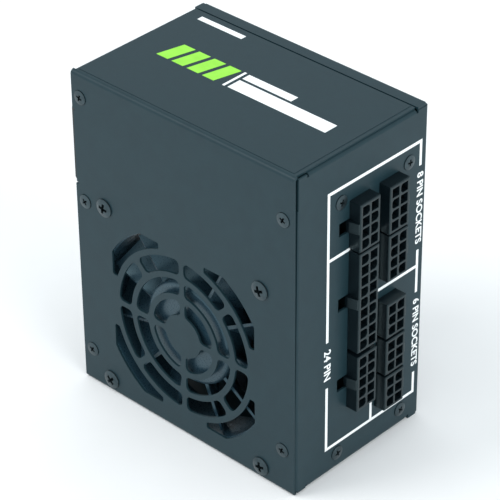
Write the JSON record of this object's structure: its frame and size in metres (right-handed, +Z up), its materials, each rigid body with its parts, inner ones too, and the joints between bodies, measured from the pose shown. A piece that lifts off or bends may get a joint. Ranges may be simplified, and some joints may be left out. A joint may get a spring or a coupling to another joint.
{
  "type": "power supply unit",
  "caption": "Compact computer power supply in a folded steel case with a fan grille, a mains inlet with a rocker switch, and keyed output sockets.",
  "frame": {"origin": "middle of the side face that the unit stands on", "axes": "+X from the mains face to the socket face, +Y from the fan face to the back plate, +Z up along the width"},
  "size_m": [0.108, 0.0647, 0.1251],
  "materials": {
    "painted_steel": "fine matt powder coat",
    "printed_label": "matt printed film",
    "black_screw": "black oxide",
    "black_nylon": "moulded",
    "fan_plastic": "moulded",
    "inlet_plastic": "moulded",
    "plain_steel": "bright",
    "sintered_bronze": "oiled",
    "turned_brass": "turned",
    "magnet": "bonded ferrite",
    "enamelled_copper": "enamelled",
    "bare_copper": "tinned edge",
    "tinned_contact": "bright plated",
    "circuit_board": "solder mask",
    "ferrite": "sintered",
    "finned_aluminium": "extruded",
    "capacitor_sleeve": "shrunk sleeve",
    "yellow_film": "moulded box",
    "blue_ceramic": "dipped",
    "fuse_ceramic": "ceramic tube",
    "semiconductor": "moulded epoxy",
    "white_nylon": "moulded",
    "insulating_film": "polyester film",
    "wire_cover": "PVC"
  },
  "bodies": {
    "case": {"chassis_shell": "painted_steel", "fan_cover": "painted_steel", "side_label": "printed_label", "cover_screws": "black_screw", "socket_board_screws": "black_screw", "fan_screws": "black_screw", "processor_socket_1": "black_nylon", "processor_socket_2": "black_nylon", "processor_socket_3": "black_nylon", "main_socket_18_pin": "black_nylon", "main_socket_10_pin": "black_nylon", "drive_socket_1": "black_nylon", "drive_socket_2": "black_nylon", "drive_socket_3": "black_nylon", "fan_frame": "fan_plastic", "inlet_housing": "inlet_plastic", "switch_housing": "inlet_plastic", "stator_core": "plain_steel", "board_screws": "plain_steel", "fan_bearing": "sintered_bronze", "board_standoffs": "turned_brass", "socket_pillars": "turned_brass", "stator_windings": "enamelled_copper", "main_transformer_winding": "enamelled_copper", "standby_transformer_winding": "enamelled_copper", "pfc_choke_winding": "enamelled_copper", "filter_choke_winding": "enamelled_copper", "output_choke_winding": "enamelled_copper", "link_bars": "bare_copper", "socket_pins": "tinned_contact", "inlet_pins": "tinned_contact", "switch_terminals": "tinned_contact", "main_board": "circuit_board", "socket_board": "circuit_board", "control_board": "circuit_board", "fan_circuit_board": "circuit_board", "main_transformer_core": "ferrite", "standby_transformer_core": "ferrite", "pfc_choke_core": "ferrite", "filter_choke_core": "ferrite", "output_choke_core": "ferrite", "primary_heatsink": "finned_aluminium", "secondary_heatsink": "finned_aluminium", "bulk_capacitor": "capacitor_sleeve", "output_capacitors": "capacitor_sleeve", "x_capacitor": "yellow_film", "y_capacitors": "blue_ceramic", "fuse": "fuse_ceramic", "bridge_rectifier": "semiconductor", "power_transistors": "semiconductor", "rectifier_transistors": "semiconductor", "fan_plug": "white_nylon", "insulation_sheet": "insulating_film", "inlet_wires": "wire_cover", "fan_lead": "wire_cover"},
    "fan_wheel": {"fan_rotor": "fan_plastic", "rotor_yoke": "plain_steel", "rotor_magnet": "magnet", "fan_shaft": "plain_steel"},
    "rocker": {"switch_rocker": "inlet_plastic"}
  },
  "joints": [
    {"name": "fan_spin", "type": "hinge", "parent": "case", "child": "fan_wheel", "pos_m": [-0.0008, -0.02, 0.041], "axis": [0, -1, 0], "continuous": true},
    {"name": "switch_rock", "type": "hinge", "parent": "case", "child": "rocker", "pos_m": [-0.0478, 0.0095, 0.09575], "axis": [0, -1, 0], "range_deg": [0, 24]}
  ]
}
